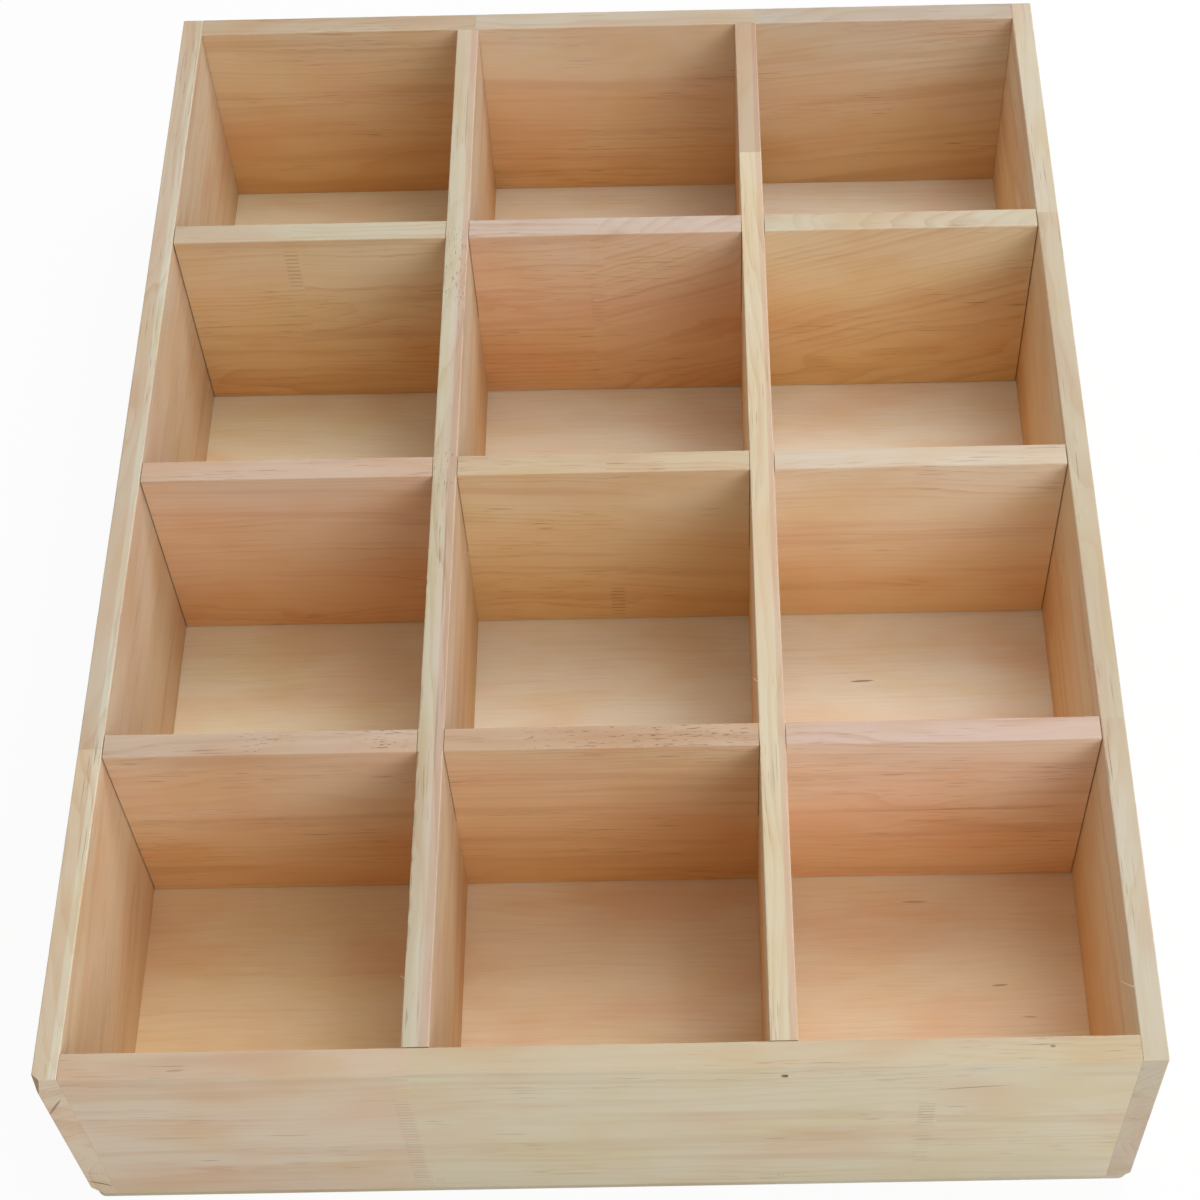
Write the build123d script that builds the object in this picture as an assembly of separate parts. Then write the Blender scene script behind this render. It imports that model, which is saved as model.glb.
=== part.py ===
from build123d import *
from math import isclose
import os

# Trinket shelf with a grid of square compartments, modelled as it lies on its back.
# +X runs across the case, +Y runs up the case when it hangs, +Z points out of the open front.
# The origin is the middle of the back face. All sizes are in millimetres.

# Case
case_width = 300.0
case_length = 400.0
board_height = 82.0  # width of every board, from the back panel to the open front
side_thickness = 7.0
end_thickness = 7.5
edge_easing = 0.8  # sanded radius along the outer edges

# Grid of compartments
columns = 3
rows = 4
upright_thickness = 7.5
shelf_thickness = 7.5
slot_clearance = 0.3  # how much wider a halving slot is than the board that it takes
slot_floor_gap = 0.2  # space left between the floors of two slots that meet

# Back panel
back_thickness = 2.5
back_inset = 0.3  # how far the panel stays inside the outer faces
back_corner_radius = 3.0
hang_hole_diameter = 5.0
hang_hole_drop = 30.0  # from the inner face of the top board down to the holes

# Brads
brad_diameter = 1.2
brad_head_diameter = 1.9
brad_head_height = 0.7
brad_set_depth = 0.4  # how far a head is punched below the surface
brad_point_length = 1.8
brad_clearance = 0.02  # radial, around the shank and the head
frame_brad_length = 20.0
back_brad_length = 12.0
brad_inset = 6.0  # from the front and back edges of a board
corner_brad_count = 3
joint_brad_count = 2

# Levels from the back to the front
back_top = back_thickness
case_front = back_thickness + board_height
slot_level = back_top + board_height / 2

# Clear sizes and centre lines of the grid
inner_width = case_width - 2 * side_thickness
inner_length = case_length - 2 * end_thickness
column_width = (inner_width - (columns - 1) * upright_thickness) / columns
row_height = (inner_length - (rows - 1) * shelf_thickness) / rows


def bay_centres(count, clear, wall):
    pitch = clear + wall
    return [(index - (count - 1) / 2) * pitch for index in range(count)]


def wall_centres(count, clear, wall):
    pitch = clear + wall
    return [(index - count / 2) * pitch for index in range(1, count)]


column_xs = bay_centres(columns, column_width, upright_thickness)
row_ys = bay_centres(rows, row_height, shelf_thickness)
upright_xs = wall_centres(columns, column_width, upright_thickness)
shelf_ys = wall_centres(rows, row_height, shelf_thickness)
side_x = (case_width - side_thickness) / 2
end_y = (case_length - end_thickness) / 2


def board(width, length, x, y):
    """A plain board standing on the back panel."""
    blank = Box(width, length, board_height, align=(Align.CENTER, Align.CENTER, Align.MIN))
    return Pos(x, y, back_top) * blank


def is_outer_edge(edge):
    """An edge where two of the case's outer faces meet."""
    middle = edge.center()
    on_faces = [
        isclose(abs(middle.X), case_width / 2, abs_tol=1e-6),
        isclose(abs(middle.Y), case_length / 2, abs_tol=1e-6),
        isclose(middle.Z, case_front, abs_tol=1e-6),
    ]
    return sum(on_faces) >= 2


def eased(blank):
    return fillet([edge for edge in blank.edges() if is_outer_edge(edge)], edge_easing)


def make_side(direction):
    return eased(board(side_thickness, case_length, direction * side_x, 0))


def make_end(direction):
    return eased(board(inner_width, end_thickness, 0, direction * end_y))


def make_upright(x):
    """A long divider, slotted from behind where the shelves pass."""
    blank = board(upright_thickness, inner_length, x, 0)
    slot_depth = slot_level + slot_floor_gap / 2 - back_top
    slot = Box(
        upright_thickness,
        shelf_thickness + slot_clearance,
        slot_depth,
        align=(Align.CENTER, Align.CENTER, Align.MIN),
    )
    return blank - [Pos(x, y, back_top) * slot for y in shelf_ys]


def make_shelf(y):
    """A cross divider, slotted from the front where the uprights pass."""
    blank = board(inner_width, shelf_thickness, 0, y)
    slot_depth = case_front - (slot_level - slot_floor_gap / 2)
    slot = Box(
        upright_thickness + slot_clearance,
        shelf_thickness,
        slot_depth,
        align=(Align.CENTER, Align.CENTER, Align.MAX),
    )
    return blank - [Pos(x, y, case_front) * slot for x in upright_xs]


def make_back_panel():
    panel = Box(
        case_width - 2 * back_inset,
        case_length - 2 * back_inset,
        back_thickness,
        align=(Align.CENTER, Align.CENTER, Align.MIN),
    )
    panel = fillet(panel.edges().filter_by(Axis.Z), back_corner_radius)
    hole = Cylinder(hang_hole_diameter / 2, back_thickness, align=(Align.CENTER, Align.CENTER, Align.MIN))
    hole_y = inner_length / 2 - hang_hole_drop
    return panel - [Pos(x, hole_y, 0) * hole for x in (column_xs[0], column_xs[-1])]


def make_brad(length):
    """A brad with its driven end at the surface z = 0, pointing down."""
    down = (Align.CENTER, Align.CENTER, Align.MAX)
    head = Pos(0, 0, -brad_set_depth) * Cylinder(brad_head_diameter / 2, brad_head_height, align=down)
    shank_length = length - brad_point_length
    shank = Pos(0, 0, -brad_set_depth) * Cylinder(brad_diameter / 2, shank_length, align=down)
    point = Cone(0, brad_diameter / 2, brad_point_length, align=down)
    return head + shank + Pos(0, 0, -brad_set_depth - shank_length) * point


def make_brad_hole(length):
    down = (Align.CENTER, Align.CENTER, Align.MAX)
    head_bottom = brad_set_depth + brad_head_height + brad_clearance
    head = Cylinder(brad_head_diameter / 2 + brad_clearance, head_bottom, align=down)
    shank_bottom = brad_set_depth + length + brad_clearance
    return head + Cylinder(brad_diameter / 2 + brad_clearance, shank_bottom, align=down)


def brad_levels(count):
    lowest = back_top + brad_inset
    highest = case_front - brad_inset
    return [lowest + (highest - lowest) * index / (count - 1) for index in range(count)]


# Where the brads start, each plane facing out of the surface that its brad is driven into
corner_places = [
    Plane((across * case_width / 2, along * end_y, level), z_dir=(across, 0, 0))
    for across in (-1, 1)
    for along in (-1, 1)
    for level in brad_levels(corner_brad_count)
]
shelf_places = [
    Plane((across * case_width / 2, y, level), z_dir=(across, 0, 0))
    for across in (-1, 1)
    for y in shelf_ys
    for level in brad_levels(joint_brad_count)
]
upright_places = [
    Plane((x, along * case_length / 2, level), z_dir=(0, along, 0))
    for along in (-1, 1)
    for x in upright_xs
    for level in brad_levels(joint_brad_count)
]
back_points = [(x, y) for x in (-side_x, *upright_xs, side_x) for y in row_ys]
back_points += [(x, y) for y in (-end_y, *shelf_ys, end_y) for x in column_xs]
back_places = [Plane((x, y, 0), z_dir=(0, 0, -1)) for x, y in back_points]

brad_groups = {
    "corner_brads": (corner_places, frame_brad_length),
    "shelf_brads": (shelf_places, frame_brad_length),
    "upright_brads": (upright_places, frame_brad_length),
    "back_brads": (back_places, back_brad_length),
}


def drilled(solid):
    """The piece with a hole for every brad that reaches into it."""
    box = solid.bounding_box()
    for places, length in brad_groups.values():
        hole = make_brad_hole(length)
        holes = [place * hole for place in places]
        holes = [cut for cut in holes if box.overlaps(cut.bounding_box())]
        if holes:
            solid = solid - holes
    return solid


nodes = {
    "left_side": make_side(-1),
    "right_side": make_side(1),
    "bottom_board": make_end(-1),
    "top_board": make_end(1),
    "back_panel": make_back_panel(),
}
nodes.update({f"upright_{number}": make_upright(x) for number, x in enumerate(upright_xs, 1)})
nodes.update({f"shelf_{number}": make_shelf(y) for number, y in enumerate(shelf_ys, 1)})
nodes = {name: drilled(solid) for name, solid in nodes.items()}
for name, (places, length) in brad_groups.items():
    brad = make_brad(length)
    nodes[name] = Compound(children=[place * brad for place in places])

os.makedirs("parts", exist_ok=True)
for name, solid in nodes.items():
    solid.label = name
    export_step(solid, f"parts/{name}.step")
    print(name, len(solid.solids()), "solids", round(solid.volume, 1), "mm3")
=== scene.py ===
import bpy
import bmesh
import math
from mathutils import Matrix, Vector, noise


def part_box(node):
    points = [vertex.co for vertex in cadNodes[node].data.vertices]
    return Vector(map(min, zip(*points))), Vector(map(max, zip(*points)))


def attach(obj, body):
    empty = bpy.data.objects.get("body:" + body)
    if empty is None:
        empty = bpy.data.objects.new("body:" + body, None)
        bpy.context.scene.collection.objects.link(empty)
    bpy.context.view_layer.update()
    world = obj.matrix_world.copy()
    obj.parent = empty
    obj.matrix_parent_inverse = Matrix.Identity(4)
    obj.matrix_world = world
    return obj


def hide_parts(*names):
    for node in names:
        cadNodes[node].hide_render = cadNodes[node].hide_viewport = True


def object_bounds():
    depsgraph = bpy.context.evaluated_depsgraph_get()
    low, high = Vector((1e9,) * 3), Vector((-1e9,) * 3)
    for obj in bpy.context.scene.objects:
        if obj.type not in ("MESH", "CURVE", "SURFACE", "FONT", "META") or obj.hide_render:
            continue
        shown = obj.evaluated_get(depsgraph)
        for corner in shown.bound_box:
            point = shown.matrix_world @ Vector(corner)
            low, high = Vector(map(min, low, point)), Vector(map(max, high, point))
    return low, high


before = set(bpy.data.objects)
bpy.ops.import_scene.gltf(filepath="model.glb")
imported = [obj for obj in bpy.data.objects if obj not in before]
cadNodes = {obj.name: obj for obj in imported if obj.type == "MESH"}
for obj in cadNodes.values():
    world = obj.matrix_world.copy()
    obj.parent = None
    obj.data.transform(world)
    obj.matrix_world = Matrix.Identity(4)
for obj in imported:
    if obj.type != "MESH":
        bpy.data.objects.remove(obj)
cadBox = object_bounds()
mm = 0.001
print("frame loaded:", len(cadNodes), "nodes")


def tone(red, green, blue):
    # a screen colour, 0 to 255, as the linear colour that a shader takes
    steps = [channel / 255 for channel in (red, green, blue)]
    return tuple(s / 12.92 if s <= 0.04045 else ((s + 0.055) / 1.055) ** 2.4 for s in steps) + (1.0,)


def grey(value):
    return (value, value, value, 1.0)


# Shader sums are written as plain expressions on wires

class Wire:
    def __init__(self, recipe, socket):
        self.recipe = recipe
        self.socket = socket

    def out(self, name):
        return Wire(self.recipe, self.socket.node.outputs[name])

    def __add__(self, other):
        return self.recipe.maths("ADD", self, other)

    def __radd__(self, other):
        return self.recipe.maths("ADD", other, self)

    def __sub__(self, other):
        return self.recipe.maths("SUBTRACT", self, other)

    def __rsub__(self, other):
        return self.recipe.maths("SUBTRACT", other, self)

    def __mul__(self, other):
        return self.recipe.maths("MULTIPLY", self, other)

    def __rmul__(self, other):
        return self.recipe.maths("MULTIPLY", other, self)

    def __truediv__(self, other):
        return self.recipe.maths("DIVIDE", self, other)

    def __rtruediv__(self, other):
        return self.recipe.maths("DIVIDE", other, self)


class Recipe:
    def __init__(self, name):
        self.material = bpy.data.materials.new(name)
        self.material.use_nodes = True
        self.tree = self.material.node_tree
        self.tree.nodes.clear()

    def node(self, kind, settings=None, inputs=None, output=0):
        made = self.tree.nodes.new("ShaderNode" + kind)
        for key, value in (settings or {}).items():
            if key == "stops":
                elements = made.color_ramp.elements
                while len(elements) < len(value):
                    elements.new(1.0)
                for element, (position, colour) in zip(elements, value):
                    element.position = position
                    element.color = colour
            elif key == "steps":
                made.color_ramp.interpolation = value
            else:
                setattr(made, key, value)
        for key, value in (inputs or {}).items():
            if isinstance(value, Wire):
                self.tree.links.new(value.socket, made.inputs[key])
            else:
                made.inputs[key].default_value = value
        return Wire(self, made.outputs[output]) if made.outputs else None

    def maths(self, operation, first, second=0.0):
        return self.node("Math", {"operation": operation}, {0: first, 1: second})

    def vector(self, x, y, z):
        return self.node("CombineXYZ", None, {0: x, 1: y, 2: z})

    def mix(self, amount, first, second, how="MIX"):
        settings = {"data_type": "RGBA", "blend_type": how}
        return self.node("Mix", settings, {0: amount, 6: first, 7: second}, 2)

    def between(self, value, low, high, toLow=0.0, toHigh=1.0):
        # a smooth step from toLow at low to toHigh at high
        settings = {"interpolation_type": "SMOOTHSTEP", "clamp": True}
        inputs = {"Value": value, "From Min": low, "From Max": high, "To Min": toLow, "To Max": toHigh}
        return self.node("MapRange", settings, inputs)

    def tinted(self, amount, colour, tint):
        # the colour, with that share of it multiplied by the tint
        return self.mix(amount, colour, self.mix(1.0, colour, tint, "MULTIPLY"))

    def cloud(self, vector, detail=2.0, rough=0.5):
        inputs = {"Vector": vector, "Scale": 1.0, "Detail": detail, "Roughness": rough}
        return self.node("TexNoise", None, inputs)

    def finish(self, sockets):
        shader = self.node("BsdfPrincipled", None, sockets)
        self.node("OutputMaterial", None, {"Surface": shader})
        return self.material


# Camera, floor and light

cameraLook = {
    "sensor": 36.0,  # mm, as is the lens
    "lens": 75.585,
    "shift": (-0.06688, -0.04595),
    "place": (0.028873, -0.468299, 0.705339),
    "turn": (35.1122, 0.9858, -0.6784),  # degrees
}
cameraData = bpy.data.cameras.new("camera")
cameraData.sensor_width = cameraLook["sensor"]
cameraData.lens = cameraLook["lens"]
cameraData.shift_x, cameraData.shift_y = cameraLook["shift"]
camera = bpy.data.objects.new("camera", cameraData)
camera.location = cameraLook["place"]
camera.rotation_euler = [math.radians(angle) for angle in cameraLook["turn"]]
bpy.context.scene.collection.objects.link(camera)
bpy.context.scene.camera = camera
bpy.context.scene.view_settings.view_transform = "Standard"

lightLook = {
    "sky": 0.36,
    "lamps": {  # power, place and size of each soft lamp; all of them point at the case
        "topLamp": (10.35, (0.36, 0.46, 1.2), 0.7),
        "rightLamp": (10.7, (0.84, -1.1, 1.0), 1.05),
    },
    "floorSize": 6.0,
    "floorDrop": 0.0002,  # how far the floor lies below the back panel
    "floorColour": tone(236, 236, 236),
    "floorGlow": 0.94,  # share of plain white that the camera and reflections see; a pale shadow is left
}
world = bpy.data.worlds.new("sky")
bpy.context.scene.world = world
world.use_nodes = True
worldTree = world.node_tree
skyNode = worldTree.nodes["Background"]
skyNode.inputs["Color"].default_value = grey(1.0)
skyNode.inputs["Strength"].default_value = lightLook["sky"]

for lampName, (power, lampPlace, lampSize) in lightLook["lamps"].items():
    lampData = bpy.data.lights.new(lampName, "AREA")
    lampData.size = lampSize
    lampData.energy = power
    lamp = bpy.data.objects.new(lampName, lampData)
    lamp.location = lampPlace
    lamp.rotation_euler = (-Vector(lampPlace)).to_track_quat("-Z", "X").to_euler()
    bpy.context.scene.collection.objects.link(lamp)

floorMesh = bmesh.new()
bmesh.ops.create_grid(floorMesh, x_segments=1, y_segments=1, size=lightLook["floorSize"] / 2)
floorData = bpy.data.meshes.new("floor")
floorMesh.to_mesh(floorData)
floorMesh.free()
floor = bpy.data.objects.new("floor", floorData)
floor.location.z = -lightLook["floorDrop"]
bpy.context.scene.collection.objects.link(floor)
floorPaint = Recipe("floor")
rays = floorPaint.node("LightPath", output="Is Camera Ray")
seen = floorPaint.maths("MAXIMUM", rays, rays.out("Is Glossy Ray"))
seen = floorPaint.maths("MAXIMUM", seen, rays.out("Is Transmission Ray"))
matt = floorPaint.node("BsdfDiffuse", None, {"Color": lightLook["floorColour"]})
glow = floorPaint.node("Emission", None, {"Color": grey(1.0), "Strength": 1.0})
paper = floorPaint.node("MixShader", None, {0: seen * lightLook["floorGlow"], 1: matt, 2: glow})
floorPaint.node("OutputMaterial", None, {"Surface": paper})
floorData.materials.append(floorPaint.material)
print("camera, floor and light set")


# Pine boards, glued up from staves with finger joints. A stave is
# (start along the board, tone, grain slope, pith height, ring width), lengths in mm.

pineTones = {
    "pale": tone(254, 252, 247),
    "cream": tone(247, 242, 232),
    "straw": tone(246, 240, 220),
    "honey": tone(242, 228, 208),
    "rosy": tone(248, 231, 223),
    "ashen": tone(235, 231, 226),
    "greenish": tone(232, 236, 227),
    "brown": tone(221, 206, 197),
    "blush": tone(255, 247, 248),
}
pineLook = {
    "early": tone(243, 229, 208),
    "late": tone(222, 189, 154),
    "lateShare": 0.72,
    "band": tone(216, 176, 142),
    "bands": 0.4,
    "pink": tone(252, 232, 222),
    "yellow": tone(250, 242, 216),
    "endGrain": tone(222, 219, 221),
    "endShare": 0.9,
    # eased edges facing up: partly sanded wood, partly a painted highlight
    "arrisSandedAndHighlight": tone(244, 228, 200),
    # painted shade for the compartments' inner faces, darker and warmer towards the floor
    "inside": tone(250, 228, 192),
    "torn": tone(168, 118, 76),
    "tornShare": 0.8,
    "glue": tone(112, 72, 40),
    "speck": tone(122, 76, 46),
    "fingerPitch": 3.8,
    "fingerLength": 4.6,
    "rampLength": 400.0,  # the length of board that a colour ramp of staves covers
    "slopeReach": 0.5,  # the steepest grain that a stave can have, as a rise over a run
    "pithReach": 80.0,  # the highest pith
    "ringReach": 4.0,  # the widest ring
    "ringSway": 14.0,
    "ringRipple": 2.4,
    "wanderScale": 0.3,
    "wanderReach": 2.5,
    "lateInRing": [(0.0, 0.15), (0.12, 0.0), (0.5, 0.12), (0.86, 0.85), (0.95, 1.0), (1.0, 0.15)],
    "poreStep": (0.7, 0.76),
    "poreShare": 0.65,
    "zoneBlend": 5.0,
    "markCore": 0.25,
    "glueLine": (0.06, 0.26),
    "glueBlend": 3.0,
    "stripSway": 1.6,
    "wallTop": 84.0,
    "roughness": 0.58,
    "fibreRoughness": 0.16,
    "lateSmoothness": 0.06,
    "fibreRelief": 0.5,
    "lateRelief": 0.35,
    "speckRelief": 0.5,
    "bumpStrength": 0.35,
    "bumpDepth": 0.00012,
    "shine": 0.35,
}
pineNoises = {  # scale along, across and up a board, per mm, then detail and roughness
    "sway": (0.009, 0.03, 0.03, 2.0, 0.5),
    "ripple": (0.035, 0.2, 0.14, 2.0, 0.5),
    "fibre": (0.06, 3.2, 3.2, 3.0, 0.6),
    "blotch": (0.018, 0.05, 0.035, 2.0, 0.5),
    "patch": (0.03, 0.08, 0.05, 3.0, 0.5),
    "dashes": (0.075, 3.0, 3.0, 1.0, 0.5),
    "cluster": (0.016, 0.1, 0.07, 1.0, 0.5),
    "streaks": (0.008, 0.1, 0.16, 2.0, 0.5),
    "pores": (0.36, 3.2, 3.2, 1.0, 0.5),
}
pineSteps = {  # where a smooth step starts and ends, and what it gives there
    "facing": (0.6, 0.9, 0.0, 1.0),
    "inward": (0.5, 0.9, 0.0, 1.0),
    "upward": (0.1, 0.5, 0.0, 0.12),
    "behind": (-0.5, 0.0, 0.0, 1.0),
    "finger": (0.3, 0.7, 0.0, 1.0),
    "ringStrength": (0.0, 1.0, 0.25, 1.0),
    "lateCluster": (0.35, 0.65, 0.45, 1.0),
    "pink": (0.42, 0.72, 0.0, 0.75),
    "yellow": (0.45, 0.7, 0.0, 0.5),
    "band": (0.5, 0.72, 0.0, 1.0),
    "fibre": (0.3, 0.75, 0.0, 0.22),
    "dash": (0.64, 0.74, 0.0, 1.0),
    "dashCluster": (0.46, 0.6, 0.0, 1.0),
    "glueEnd": (-0.6, 0.4, 1.0, 0.0),
    "glueFibre": (0.3, 0.6, 0.4, 1.0),
}


def pine(name, look):
    wood = Recipe(name)
    seed = look["seed"]
    endAxis, sideAxis = ("Y", "X") if look["lengthwise"] else ("X", "Y")
    place = wood.node("TexCoord", output="Object")
    turn = -90.0 if look["lengthwise"] else 0.0
    offCentre = look["middle"].x if look["lengthwise"] else -look["middle"].y
    settings = {"Vector": place, "Location": (0, offCentre / mm, 0),
                "Rotation": (0, 0, math.radians(turn)), "Scale": (1 / mm, 1 / mm, 1 / mm)}
    grainFrame = wood.node("SeparateXYZ", None, {0: wood.node("Mapping", None, settings)})
    along, across, up = grainFrame.out("X"), grainFrame.out("Y"), grainFrame.out("Z")

    def step(value, kind):
        return wood.between(value, *pineSteps[kind])

    def within(value, low, high, blend):
        # 1 from low to high, with soft ends
        return wood.between(value, low - blend, low + blend) * wood.between(value, high + blend, high - blend)

    def clouds(kind, shiftAlong=0.0, shiftAcross=0.0, shiftUp=0.0):
        # the noise of that kind, stretched along the grain
        scaleAlong, scaleAcross, scaleUp, detail, rough = pineNoises[kind]
        spot = wood.vector(along * scaleAlong + shiftAlong, across * scaleAcross + shiftAcross,
                           up * scaleUp + shiftUp)
        return wood.cloud(spot, detail, rough)

    signed = wood.node("SeparateXYZ", None, {0: place.out("Normal")})
    facing = wood.node("VectorMath", {"operation": "ABSOLUTE"}, {0: place.out("Normal")})
    facing = wood.node("SeparateXYZ", None, {0: facing})
    endFace = step(facing.out(endAxis), "facing")
    flatFace = step(facing.out("Z"), "facing")
    frontFace = step(signed.out("Z"), "facing")

    # which stave this is
    halfPitch = pineLook["fingerPitch"] / 2
    fingerLength = pineLook["fingerLength"]
    flank = wood.maths("PINGPONG", up + seed, halfPitch) / halfPitch
    cut = along - (step(flank, "finger") - 0.5) * fingerLength
    spot = cut / pineLook["rampLength"] + 0.5
    tints, plans = [], []
    for start, toneName, staveSlope, stavePith, staveRing in look["staves"]:
        position = max(0.0, start / pineLook["rampLength"] + 0.5)
        tints.append((position, pineTones[toneName]))
        red = staveSlope / pineLook["slopeReach"] / 2 + 0.5
        green = stavePith / pineLook["pithReach"] / 2 + 0.5
        plans.append((position, (red, green, staveRing / pineLook["ringReach"], 1.0)))
    staveTint = wood.node("ValToRGB", {"steps": "CONSTANT", "stops": tints}, {0: spot})
    if "backTint" in look:
        staveTint = wood.mix(step(signed.out("Z"), "behind"), look["backTint"], staveTint)
    plan = wood.node("ValToRGB", {"steps": "CONSTANT", "stops": plans}, {0: spot})
    plan = wood.node("SeparateColor", None, {0: plan})
    slope = (plan.out("Red") - 0.5) * (2 * pineLook["slopeReach"])
    pith = (plan.out("Green") - 0.5) * (2 * pineLook["pithReach"])
    ringWidth = plan.out("Blue") * pineLook["ringReach"]

    # growth rings about a pith that lies behind the board
    sway = clouds("sway", 0.0, seed, pith) - 0.5
    ripple = clouds("ripple", 0.0, 0.0, seed + pith) - 0.5
    rise = up - pith - slope * along
    depth = across + look["pithDepth"]
    radius = wood.maths("SQRT", rise * rise + depth * depth)
    radius = radius + sway * pineLook["ringSway"] + ripple * pineLook["ringRipple"]
    rings = radius / ringWidth
    wander = wood.cloud(wood.vector(rings * pineLook["wanderScale"], seed, pith), 1.0) - 0.5
    rings = rings + wander * pineLook["wanderReach"]
    whichRing = wood.maths("FLOOR", rings)
    ringStrength = wood.node("TexWhiteNoise", {"noise_dimensions": "1D"}, {"W": whichRing + seed})
    lateRamp = [(position, grey(share)) for position, share in pineLook["lateInRing"]]
    late = wood.node("ValToRGB", {"stops": lateRamp}, {0: wood.maths("FRACT", rings)})
    late = late * step(ringStrength, "ringStrength")

    # fibres, clouds of colour, resin dashes and pores
    fibre = clouds("fibre", shiftUp=seed)
    blotch = clouds("blotch", shiftAlong=seed)
    patch = clouds("patch", shiftAlong=-seed)
    dashes = clouds("dashes", shiftAcross=seed)
    cluster = clouds("cluster", shiftUp=-seed)
    streaks = clouds("streaks", seed, sway, slope * along * -pineNoises["streaks"][2])
    pores = clouds("pores", shiftUp=-seed)

    lateShare = late * step(cluster, "lateCluster") * (look["lateShare"] * pineLook["lateShare"])
    colour = wood.mix(lateShare, look.get("early", pineLook["early"]), pineLook["late"])
    colour = wood.tinted(step(blotch, "pink"), colour, pineLook["pink"])
    colour = wood.tinted(step(patch, "yellow"), colour, pineLook["yellow"])
    bandShare = step(streaks, "band") * look.get("bands", pineLook["bands"])
    colour = wood.mix(bandShare, colour, pineLook["band"])
    colour = wood.mix(1.0, colour, staveTint, "MULTIPLY")
    colour = wood.mix(step(fibre, "fibre"), colour, pineLook["late"])
    speckShare = step(dashes, "dash") * step(cluster, "dashCluster") * look["dashes"]
    poreFrom, poreTo = pineLook["poreStep"]
    for start, end, density in look.get("poreZones", []):
        zone = within(along, start, end, pineLook["zoneBlend"]) * frontFace
        pits = wood.between(pores, poreFrom - density, poreTo - density) * zone * pineLook["poreShare"]
        speckShare = wood.maths("MAXIMUM", speckShare, pits)
    markFaces = {"front": frontFace, "side": 1 - frontFace, "end": endFace}
    for start, level, length, width, slant, share, face in look.get("marks", []):
        offset = (across if face == "end" else along) - start
        rise = (across if face == "front" else up) - level - offset * slant
        offset = offset / (length / 2)
        rise = (rise + ripple * width) / (width / 2)
        mark = wood.between(offset * offset + rise * rise, pineLook["markCore"], 1.0, share, 0.0)
        speckShare = wood.maths("MAXIMUM", speckShare, mark * markFaces[face])
    colour = wood.mix(speckShare, colour, pineLook["speck"])

    # glue that shows along the fingers of some joints
    for start, lowest, highest, share in look.get("joints", []):
        line = wood.between(wood.maths("ABSOLUTE", flank - 0.5), *pineLook["glueLine"], share, 0.0)
        line = line * step(wood.maths("ABSOLUTE", along - start) - fingerLength / 2, "glueEnd")
        line = line * step(fibre, "glueFibre") * within(up, lowest, highest, pineLook["glueBlend"])
        colour = wood.mix(line * (1 - frontFace), colour, pineLook["glue"])

    # tints of single faces, edges and torn places, with painted shade deep in the compartments and over the
    # panel's row of floors by the bottom board, and a painted highlight on upward eased edges
    colour = wood.tinted(frontFace, colour, look.get("front", grey(1.0)))
    for start, end, stripTint in look.get("strips", []):
        strip = wood.between(across + sway * pineLook["stripSway"], start, end) * frontFace
        colour = wood.tinted(strip, colour, stripTint)
    endTint = look.get("endGrain", pineLook["endGrain"])
    colour = wood.tinted(endFace * pineLook["endShare"], colour, endTint)
    if "rimTint" in look:
        colour = wood.tinted(1 - flatFace, colour, look["rimTint"])
    # painted shade: bands of the panel's inner face made darker and warmer
    for start, end, paintedShadeTint in look.get("paintedShadeBands", []):
        colour = wood.tinted(wood.between(across, start, end) * frontFace, colour, paintedShadeTint)
    # painted shade: inner faces of the compartments turn darker and warmer from the wall top down to the
    # floor
    if look["inner"] is not None:
        inward = signed.out(sideAxis) * look["inner"] if look["inner"] else facing.out(sideAxis)
        inside = wood.between(up, pineLook["wallTop"], 0.0) * step(inward, "inward")
        colour = wood.tinted(inside * look.get("paintedShadeShare", 1.0), colour, pineLook["inside"])
    arris = wood.node("Attribute", {"attribute_name": "arris"}, None, "Fac")
    torn = wood.node("Attribute", {"attribute_name": "torn"}, None, "Fac")
    # upward-facing eased edges paler: partly sanded wood, partly a painted highlight
    colour = wood.mix(arris * step(signed.out("Z"), "upward"), colour, pineLook["arrisSandedAndHighlight"])
    colour = wood.mix(torn * pineLook["tornShare"], colour, pineLook["torn"])

    roughness = pineLook["roughness"] + fibre * pineLook["fibreRoughness"] - late * pineLook["lateSmoothness"]
    relief = fibre * pineLook["fibreRelief"] - late * pineLook["lateRelief"]
    relief = relief - speckShare * pineLook["speckRelief"]
    bumpInputs = {"Strength": pineLook["bumpStrength"], "Distance": pineLook["bumpDepth"], "Height": relief}
    bump = wood.node("Bump", None, bumpInputs)
    return wood.finish({"Base Color": colour, "Roughness": roughness, "Normal": bump,
                        "Specular IOR Level": pineLook["shine"]})


# Boards

boardLook = {
    "easing": 0.42,  # mm
    "step": 1.6,  # mm between the cross cuts that let the edges vary
    "skin": 0.03,  # mm that a face lies inside the drawn one
    "endGap": 0.05,  # mm left at each end of a board
    "lift": 0.04,  # mm left under a board
    "slotPlay": 0.15,
    "levelPlay": 0.1,
    "sharpFrom": 1.0,  # radians between the faces of an edge that is eased
    "headHole": 0.98,
    "headDepth": 0.42,
    "headRounding": 0.85,
    "wearZone": 1.2,  # easings from an edge that wear reaches
    "usualWear": 0.85,
    "leastWear": 0.35,
    # amount, scale per mm, and the shifts from side to side and from edge to edge
    "wearWaves": [(0.45, 0.045, 7.1, 3.3), (0.3, 0.31, -4.7, 5.9)],
    "raggedScale": 0.42,
    "raggedShift": 1.7,
    "raggedBias": 0.15,
    "splinterWidth": 0.14,
    "splinterTip": 0.08,
    "splinterCurl": 0.25,
    "splinterRoot": 0.7,
}


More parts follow.
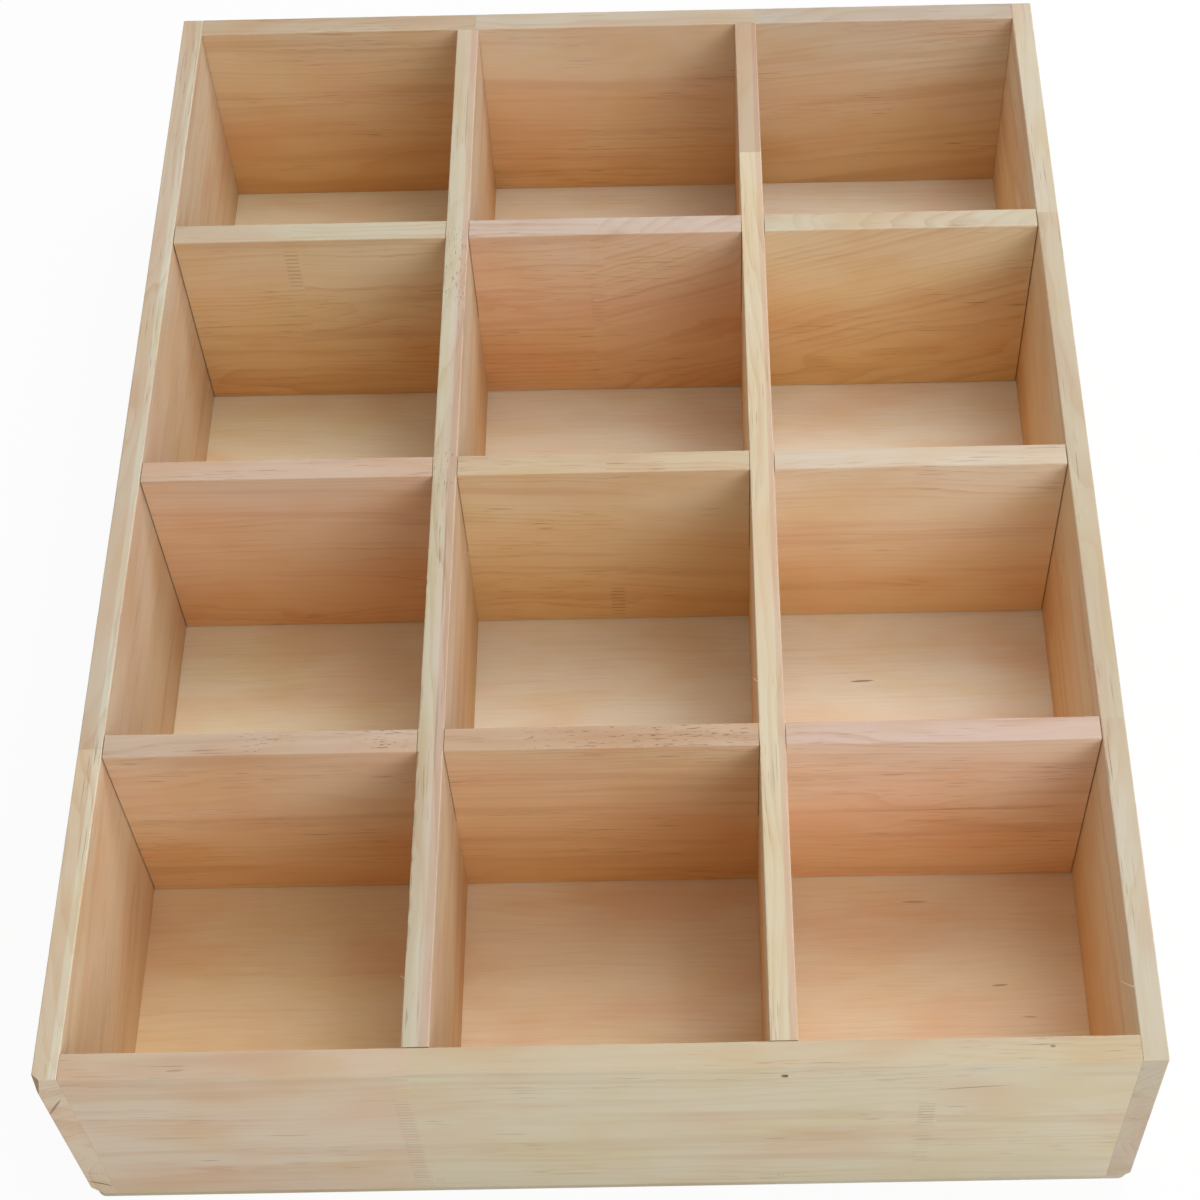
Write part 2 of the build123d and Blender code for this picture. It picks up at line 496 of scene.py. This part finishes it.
def cutPlane(bm, point, normal, clearOuter=False):
    geometry = bm.verts[:] + bm.edges[:] + bm.faces[:]
    return bmesh.ops.bisect_plane(bm, geom=geometry, dist=1e-7, plane_co=point, plane_no=normal,
                                  clear_outer=clearOuter)


def cutAcross(bm, positions):
    for position in positions:
        cutPlane(bm, (position, 0, 0), (1, 0, 0))


def chipCorner(bm, onEdges, torn):
    # cuts a corner off along the plane through three points, and marks the raw wood
    first, second, third = [Vector(point) * mm for point in onEdges]
    normal = (second - first).cross(third - first).normalized()
    if normal.dot(first) < 0:
        normal.negate()
    made = cutPlane(bm, first, normal, True)
    rim = [g for g in made["geom_cut"] if isinstance(g, bmesh.types.BMEdge)]
    for face in bmesh.ops.holes_fill(bm, edges=rim)["faces"]:
        face[torn] = 1.0


def sinkHead(bm, place, radius, depth):
    # a round hole in the near face, down to the head of the brad there
    for axis, centre in ((0, place.x), (2, place.z)):
        for side in (-1, 1):
            spot, normal = [0.0, 0.0, 0.0], [0.0, 0.0, 0.0]
            spot[axis], normal[axis] = centre + side * radius, 1.0
            cutPlane(bm, spot, normal)
    bm.normal_update()
    near = [f for f in bm.faces if f.normal.y < -0.9]
    mouth = min(near, key=lambda f: (f.calc_center_median() - place).length)
    made = bmesh.ops.extrude_face_region(bm, geom=[mouth])
    verts = [g for g in made["geom"] if isinstance(g, bmesh.types.BMVert)]
    bmesh.ops.translate(bm, vec=(0, depth, 0), verts=verts)
    bmesh.ops.delete(bm, geom=[mouth], context="FACES_ONLY")
    ribs = [e for v in verts for e in v.link_edges if abs(e.verts[0].co.y - e.verts[1].co.y) > depth / 2]
    rounding = radius * boardLook["headRounding"]
    bmesh.ops.bevel(bm, geom=ribs, offset=rounding, offset_type="OFFSET", affect="EDGES", segments=4,
                    profile=0.5, material=-1)


def addSplinter(bm, place, lean, length):
    # a thin sliver that stands off an arris
    width = boardLook["splinterWidth"] * mm
    tip = width * boardLook["splinterTip"]
    made = bmesh.ops.create_cone(bm, segments=5, radius1=width, radius2=tip, depth=length, cap_ends=True)
    for vert in made["verts"]:
        reach = vert.co.z / length + 0.5
        vert.co.y += reach * reach * length * boardLook["splinterCurl"]
    turn = lean.to_track_quat("Z", "Y").to_matrix()
    bmesh.ops.translate(bm, vec=(0, 0, length / 2), verts=made["verts"])
    bmesh.ops.rotate(bm, cent=(0, 0, 0), matrix=turn, verts=made["verts"])
    bmesh.ops.translate(bm, vec=place, verts=made["verts"])


def midway(name, axis):
    lowCorner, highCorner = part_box(name)
    return (lowCorner[axis] + highCorner[axis]) / 2


def halfWidth(name, axis):
    lowCorner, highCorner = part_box(name)
    return (highCorner[axis] - lowCorner[axis]) / 2


def makeBoard(name, look):
    low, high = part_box(name)
    size = high - low
    middle = (low + high) / 2
    lengthwise = size.y > size.x
    length = (size.y if lengthwise else size.x) - 2 * look.get("endGap", boardLook["endGap"]) * mm
    thick = (size.x if lengthwise else size.y) - 2 * boardLook["skin"] * mm
    bottom = low.z + look.get("lift", boardLook["lift"]) * mm
    top = high.z - boardLook["skin"] * mm
    halfLevel = midway(name, 2)

    # the crossings, and the half of the board that runs through them
    crossing = []
    if name.startswith("upright"):
        crossing = [midway(other, 1) for other in shelfNames]
        spineLow, spineHigh = halfLevel + boardLook["levelPlay"] * mm, top
        toothDepth = bottom - spineLow
        slotHalf = halfWidth(shelfNames[0], 1)
    elif name.startswith("shelf"):
        crossing = [midway(other, 0) for other in uprightNames]
        spineLow, spineHigh = bottom, halfLevel - boardLook["levelPlay"] * mm
        toothDepth = top - spineHigh
        slotHalf = halfWidth(uprightNames[0], 0)
    else:
        spineLow, spineHigh = bottom, top
    bm = bmesh.new()
    bmesh.ops.create_cube(bm, size=1.0)
    bmesh.ops.scale(bm, vec=(length, thick, spineHigh - spineLow), verts=bm.verts)
    bmesh.ops.translate(bm, vec=(0, 0, (spineLow + spineHigh) / 2), verts=bm.verts)
    if crossing:
        slotHalf += boardLook["slotPlay"] * mm
        cutAcross(bm, [place + side * slotHalf for place in crossing for side in (-1, 1)])
        bm.normal_update()
        outward = 1 if toothDepth > 0 else -1
        for face in [f for f in bm.faces if f.normal.z * outward > 0.9]:
            if min(abs(face.calc_center_median().x - place) for place in crossing) < slotHalf:
                continue
            made = bmesh.ops.extrude_face_region(bm, geom=[face])
            verts = [g for g in made["geom"] if isinstance(g, bmesh.types.BMVert)]
            bmesh.ops.translate(bm, vec=(0, 0, toothDepth), verts=verts)
            bmesh.ops.delete(bm, geom=[face], context="FACES_ONLY")
    bm.normal_update()

    # eased outer edges, marked for the paint
    arris = bm.faces.layers.float.new("arris")
    torn = bm.faces.layers.float.new("torn")
    sharp = []
    innerSide = 1 if middle.x > 0 else -1
    for edge in bm.edges:
        if len(edge.link_faces) != 2 or edge.calc_face_angle() < boardLook["sharpFrom"]:
            continue
        centre = (edge.verts[0].co + edge.verts[1].co) / 2
        if abs(centre.x) > length / 2 - 1e-6:
            # the edges of a seam stay crisp
            if not name.endswith("_side") or centre.y * innerSide > thick / 4:
                continue
        if crossing and min(abs(centre.x - place) for place in crossing) < slotHalf + 1e-5:
            continue
        sharp.append(edge)
    easing = boardLook["easing"] * mm
    made = bmesh.ops.bevel(bm, geom=sharp, offset=easing, offset_type="OFFSET", affect="EDGES", segments=2,
                           profile=0.5, material=-1)
    for face in made["faces"]:
        face[arris] = 1.0

    for chip in look.get("chips", []):
        chipCorner(bm, chip, torn)
    for sunkAlong, sunkLevel in look.get("sunk", []):
        place = Vector((sunkAlong * mm, -thick / 2, sunkLevel * mm))
        sinkHead(bm, place, boardLook["headHole"] * mm, boardLook["headDepth"] * mm)

    # wear along the edges
    count = int(length / mm / boardLook["step"])
    cutAcross(bm, [-length / 2 + length * index / count for index in range(1, count)])
    seed = look["seed"]
    zone = boardLook["wearZone"] * easing
    for vert in bm.verts:
        fromSide = thick / 2 - abs(vert.co.y)
        fromTop = min(vert.co.z - bottom, top - vert.co.z)
        if fromSide > zone or fromTop > zone:
            continue
        side = 1 if vert.co.y > 0 else -1
        front = 1 if top - vert.co.z < vert.co.z - bottom else -1
        where = vert.co.x / mm
        wear = boardLook["usualWear"]
        for amount, scale, sideShift, frontShift in boardLook["wearWaves"]:
            wear += amount * noise.noise((where * scale, seed + side * sideShift, front * frontShift))
        for start, end, raggedSide, strength in look.get("ragged", []):
            if front > 0 and side == raggedSide and start < where < end:
                tooth = noise.noise((where * boardLook["raggedScale"], seed * boardLook["raggedShift"], 0.0))
                wear += strength * max(0.0, tooth + boardLook["raggedBias"])
        wear = max(boardLook["leastWear"], wear)
        vert.co.y = side * (thick / 2 - fromSide * wear)
        vert.co.z = top - fromTop * wear if front > 0 else bottom + fromTop * wear

    for start, side, lean, reach in look.get("splinters", []):
        level = top - easing * boardLook["splinterRoot"]
        place = Vector((start * mm, side * (thick / 2 - easing), level))
        addSplinter(bm, place, Vector(lean), reach * mm)

    if lengthwise:
        quarterTurn = Matrix.Rotation(math.radians(90), 3, "Z")
        bmesh.ops.rotate(bm, cent=(0, 0, 0), matrix=quarterTurn, verts=bm.verts)
    bmesh.ops.translate(bm, vec=(middle.x, middle.y, 0), verts=bm.verts)
    look["lengthwise"] = lengthwise
    look["middle"] = middle
    look["inner"] = 0 if crossing else (1 if (middle.x if lengthwise else middle.y) < 0 else -1)
    return finishPiece("board_" + name, bm, pine("pine " + name, look), "pine_board", name)


def finishPiece(name, bm, material, slot, *replaced):
    bm.normal_update()
    data = bpy.data.meshes.new(name)
    bm.to_mesh(data)
    bm.free()
    data.materials.append(material)
    piece = bpy.data.objects.new(name, data)
    bpy.context.scene.collection.objects.link(piece)
    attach(piece, "root")
    if replaced:
        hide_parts(*replaced)
    return piece


uprightNames = sorted(name for name in cadNodes if name.startswith("upright_") and name[-1].isdigit())
shelfNames = sorted(name for name in cadNodes if name.startswith("shelf_") and name[-1].isdigit())

boards = {
    "left_side": {
        "seed": 3.1, "pithDepth": 31.0, "lateShare": 0.8, "dashes": 0.5,
        # a smaller share of the painted depth shade on this board's inner face
        "paintedShadeShare": 0.55, "endGrain": tone(247, 248, 251),
        "strips": [(-1.6, -0.9, tone(247, 233, 226))],
        "chips": [((-200, 3.5, 73.5), (-200, 1.1, 84.5), (-198.0, 3.5, 84.5)),
                  ((-200, 3.5, 8.0), (-200, 0.2, 2.5), (-192.0, 3.5, 2.5))],
        "marks": [(0.9, 66.4, 6.4, 1.9, -1.8, 0.6, "end"), (0.0, 10.8, 7.8, 1.1, 0.61, 0.8, "end"),
                  (0.4, 18.4, 6.0, 0.6, 0.35, 0.35, "end")],
        "front": tone(236, 249, 255),
        "staves": [(-200, "cream", 0.12, 30, 1.9), (-98, "ashen", -0.05, -20, 1.6),
                   (98, "ashen", 0.04, 60, 2.2)],
    },
    "right_side": {
        "seed": 11.7, "pithDepth": 40.0, "lateShare": 0.8, "dashes": 0.5,
        "endGrain": tone(212, 216, 219),
        "chips": [((-200, -3.5, 5.4), (-200, -1.0, 2.5), (-197.0, -3.5, 2.5))],
        "marks": [(0.4, 45.0, 6.0, 0.7, 0.3, 0.2, "end"), (-0.6, 53.5, 5.0, 0.6, -0.4, 0.16, "end")],
        "splinters": [(-179, 1, (0.5, 0.9, -0.35), 4.5), (-77.8, 1, (0.8, 0.6, -0.35), 4.0)],
        "front": tone(213, 218, 219),
        "staves": [(-200, "pale", -0.06, 20, 2.0), (-98, "cream", 0.05, -30, 1.7),
                   (98, "pale", -0.03, 50, 2.3)],
    },
    "bottom_board": {
        "seed": 5.3, "pithDepth": 44.0, "lateShare": 0.68, "bands": 0.3, "dashes": 0.5, "endGap": 0.02,
        "sunk": [(48.9, 78.5)],
        "marks": [(99.5, 68.8, 24, 0.7, 0.11, 0.55, "side"), (-120, 43.5, 24, 0.7, 0.0, 0.3, "side"),
                  (-88, 44.0, 14, 0.6, -0.03, 0.4, "side"), (-26, 42, 12, 0.6, 0.0, 0.4, "side"),
                  (-10, 12, 18, 0.6, 0.0, 0.3, "side"), (96, 56, 8, 0.6, 0.0, 0.4, "side"),
                  (119.7, 0.85, 1.8, 0.9, 0.0, 0.6, "front"), (-112, -1.6, 6, 0.8, 0.05, 0.3, "front")],
        "joints": [(-54, 8, 66, 0.25), (88, 44, 58, 0.4), (88, 15, 38, 0.12)],
        "front": tone(232, 226, 221),
        "staves": [(-200, "ashen", 0.03, 10, 2.6), (-54, "greenish", 0.0, 46, 2.2),
                   (88, "greenish", -0.04, 80, 2.5)],
    },
    "top_board": {
        "seed": 8.9, "pithDepth": 35.0, "lateShare": 0.8, "dashes": 0.5,
        "front": tone(211, 215, 222),
        "staves": [(-200, "honey", 0.02, 10, 2.0), (-48.9, "cream", -0.02, 60, 1.8),
                   (48.9, "ashen", 0.12, -10, 2.4)],
    },
    "upright_1": {
        "seed": 17.3, "pithDepth": 26.0, "lateShare": 0.9, "dashes": 0.6, "lift": 0.25, "endGap": 0.12,
        "poreZones": [(64, 98, 0.07), (-8, 10, 0.05)],
        "strips": [(-0.9, -1.7, tone(250, 234, 232)), (0.4, 1.4, tone(248, 249, 241))],
        "marks": [(-38, -1.3, 50, 0.7, 0.0, 0.35, "front"), (-95, -1.4, 40, 0.6, 0.005, 0.25, "front"),
                  (150, -1.2, 36, 0.6, 0.0, 0.3, "front")],
        "ragged": [(-165, -40, 1, 2.4)],
        "splinters": [(-173, 1, (0.7, 0.7, -0.35), 3.0)],
        "front": tone(230, 238, 242),
        "staves": [(-200, "ashen", 0.05, 40, 1.7), (0, "ashen", -0.04, -10, 1.9)],
    },
    "upright_2": {
        "seed": 21.1, "pithDepth": 38.0, "lateShare": 0.8, "dashes": 0.4, "lift": 0.25, "endGap": 0.12,
        "strips": [(-1.5, -2.1, tone(248, 234, 236))],
        "splinters": [(-80.7, 1, (0.7, 0.7, -0.35), 3.0)],
        "front": tone(231, 236, 233),
        "staves": [(-200, "cream", 0.02, 30, 1.9), (131, "brown", -0.04, -20, 2.1)],
    },
    "shelf_1": {
        "seed": 27.7, "pithDepth": 33.0, "lateShare": 0.8, "dashes": 0.5, "lift": 0.25, "endGap": 0.3,
        "early": tone(250, 231, 210),
        "poreZones": [(-22, 44, 0.05), (12, 38, 0.08), (-104, -90, 0.05), (-70, -56, 0.07)],
        "marks": [(100, 44.7, 80, 0.7, 0.0, 0.3, "side")],
        "front": tone(212, 208, 210),
        "staves": [(-200, "cream", 0.02, 55, 2.1), (-48.9, "honey", -0.03, 0, 2.3),
                   (48.9, "blush", 0.0, 44, 1.8)],
    },
    "shelf_2": {
        "seed": 33.3, "pithDepth": 29.0, "lateShare": 0.8, "dashes": 0.5, "lift": 0.25, "endGap": 0.3,
        "joints": [(2, 6, 22, 0.42)],
        "front": tone(220, 219, 221),
        "staves": [(-200, "rosy", -0.02, 20, 1.8), (-48.9, "straw", -0.06, 20, 1.8),
                   (2, "straw", -0.14, 70, 2.1), (48.9, "pale", 0.02, 0, 2.0)],
    },
    "shelf_3": {
        "seed": 39.9, "pithDepth": 36.0, "lateShare": 0.85, "dashes": 0.5, "lift": 0.25, "endGap": 0.3,
        "joints": [(-105, 61, 79, 0.38), (-4, 40, 60, 0.15)],
        "front": tone(216, 224, 236),
        "staves": [(-200, "straw", 0.02, 10, 2.0), (-105, "straw", 0.02, 50, 1.8),
                   (-48.9, "rosy", 0.06, 56, 1.9), (-4, "rosy", 0.4, 20, 2.4),
                   (48.9, "straw", 0.36, -20, 2.6)],
    },
}
for boardName, boardValues in boards.items():
    makeBoard(boardName, boardValues)
print("boards made:", len(boards))


# Back panel

backPanel = cadNodes["back_panel"]
panelLook = {
    "seed": 45.1, "pithDepth": 52.0, "lateShare": 0.22, "dashes": 0.1, "bands": 0.1,
    "early": tone(255, 253, 241),
    # painted shade: the inner face darker and warmer from y -90 mm to -106 mm and beyond, over the floors of
    # the row by the bottom board
    "paintedShadeBands": [(-90, -106, tone(251, 236, 220))],
    "rimTint": tone(210, 208, 200),
    "backTint": tone(243, 232, 208),
    "marks": [(81.6, -30, 9, 0.9, 0.05, 0.7, "front"), (117.6, -139.3, 6, 0.8, 0.04, 0.5, "front"),
              (125.7, -149.9, 5, 0.7, -0.03, 0.35, "front"), (93.4, -110.7, 9, 0.8, 0.0, 0.4, "front")],
    "lengthwise": False, "middle": Vector((0, 0, 0)), "inner": None,
    "staves": [(-200, "straw", 0.0, 0, 2.8), (-48.9, "cream", 0.0, 0, 2.8),
               (48.9, "pale", 0.0, 0, 2.8)],
}
backPanel.data.materials.clear()
backPanel.data.materials.append(pine("pine panel", panelLook))
print("back panel painted")


# Filler over the brads' heads, smoothed off a little below the wood's highest fibres

fillerLook = {
    "radius": 1.08,
    "taper": 0.9,  # radius of the inner end, as a share of the outer one
    "depth": 0.3,
    "rim": 0.3,
    "dip": 0.04,
    "sunk": 0.005,  # how far the rim lies below the wood
    "inset": 6.0,  # from a board's edge to its nearest brad
    "pale": tone(232, 206, 168),
    "dark": tone(196, 158, 116),
    "gritScale": 5.0,  # per mm
    "roughness": 0.7,
    "gritRoughness": 0.2,
    "bumpStrength": 0.3,
    "bumpDepth": 0.0001,
}
filler = bmesh.new()


def addFiller(place, outward):
    radius, depth = fillerLook["radius"] * mm, fillerLook["depth"] * mm
    made = bmesh.ops.create_cone(filler, segments=14, radius1=radius * fillerLook["taper"], radius2=radius,
                                 depth=depth, cap_ends=True)
    verts = made["verts"]
    cap = [f for f in filler.faces if all(v in verts and v.co.z > 0 for v in f.verts)]
    rim = bmesh.ops.inset_region(filler, faces=cap, thickness=fillerLook["rim"] * mm, depth=0.0)
    bmesh.ops.translate(filler, vec=(0, 0, -fillerLook["dip"] * mm), verts=cap[0].verts[:])
    verts = list({v for f in rim["faces"] + cap for v in f.verts} | set(verts))
    bmesh.ops.translate(filler, vec=(0, 0, -depth / 2 - fillerLook["sunk"] * mm), verts=verts)
    turn = outward.to_track_quat("Z", "Y").to_matrix()
    bmesh.ops.rotate(filler, cent=(0, 0, 0), matrix=turn, verts=verts)
    bmesh.ops.translate(filler, vec=place, verts=verts)


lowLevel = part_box("left_side")[0].z + fillerLook["inset"] * mm
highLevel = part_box("left_side")[1].z - fillerLook["inset"] * mm
cornerLevels = (lowLevel, (lowLevel + highLevel) / 2, highLevel)
outerX, outerY = cadBox[1][0], cadBox[1][1]
for side in (-1, 1):
    for boardName in ["bottom_board", "top_board"] + shelfNames:
        for level in (lowLevel, highLevel) if boardName in shelfNames else cornerLevels:
            addFiller(Vector((side * outerX, midway(boardName, 1), level)), Vector((side, 0, 0)))
    for boardName in uprightNames:
        for level in (lowLevel, highLevel):
            place = Vector((midway(boardName, 0), side * outerY, level))
            if side < 0 and place.x > 0 and level == highLevel:
                continue  # this head was left open
            addFiller(place, Vector((0, side, 0)))

paste = Recipe("wood filler")
place = paste.node("TexCoord", output="Object")
place = paste.node("Mapping", None, {"Vector": place, "Scale": (1 / mm, 1 / mm, 1 / mm)})
finer = paste.node("VectorMath", {"operation": "SCALE"}, {0: place, "Scale": fillerLook["gritScale"]})
cloudy = paste.cloud(place, 3.0)
grit = paste.cloud(finer, 2.0)
bumpInputs = {"Strength": fillerLook["bumpStrength"], "Distance": fillerLook["bumpDepth"], "Height": grit}
pastePaint = paste.finish({
    "Base Color": paste.mix(cloudy, fillerLook["dark"], fillerLook["pale"]),
    "Roughness": fillerLook["roughness"] + grit * fillerLook["gritRoughness"],
    "Normal": paste.node("Bump", None, bumpInputs),
})
finishPiece("brad_fillers", filler, pastePaint, "pine_board")
print("heads filled")


# Brads

steelLook = {
    "dark": tone(126, 110, 94),
    "pale": tone(164, 148, 130),
    "scratchScale": 9000.0,
    "roughness": 0.38,
    "scratchRoughness": 0.3,
}
steel = Recipe("brad steel")
place = steel.node("TexCoord", output="Object")
place = steel.node("VectorMath", {"operation": "SCALE"}, {0: place, "Scale": steelLook["scratchScale"]})
scratch = steel.cloud(place, 3.0)
steelPaint = steel.finish({
    "Base Color": steel.mix(scratch, steelLook["dark"], steelLook["pale"]),
    "Roughness": steelLook["roughness"] + scratch * steelLook["scratchRoughness"],
    "Metallic": 1.0,
})
for nodeName in ("corner_brads", "shelf_brads", "upright_brads", "back_brads"):
    cadNodes[nodeName].data.materials.clear()
    cadNodes[nodeName].data.materials.append(steelPaint)
print("brads painted")
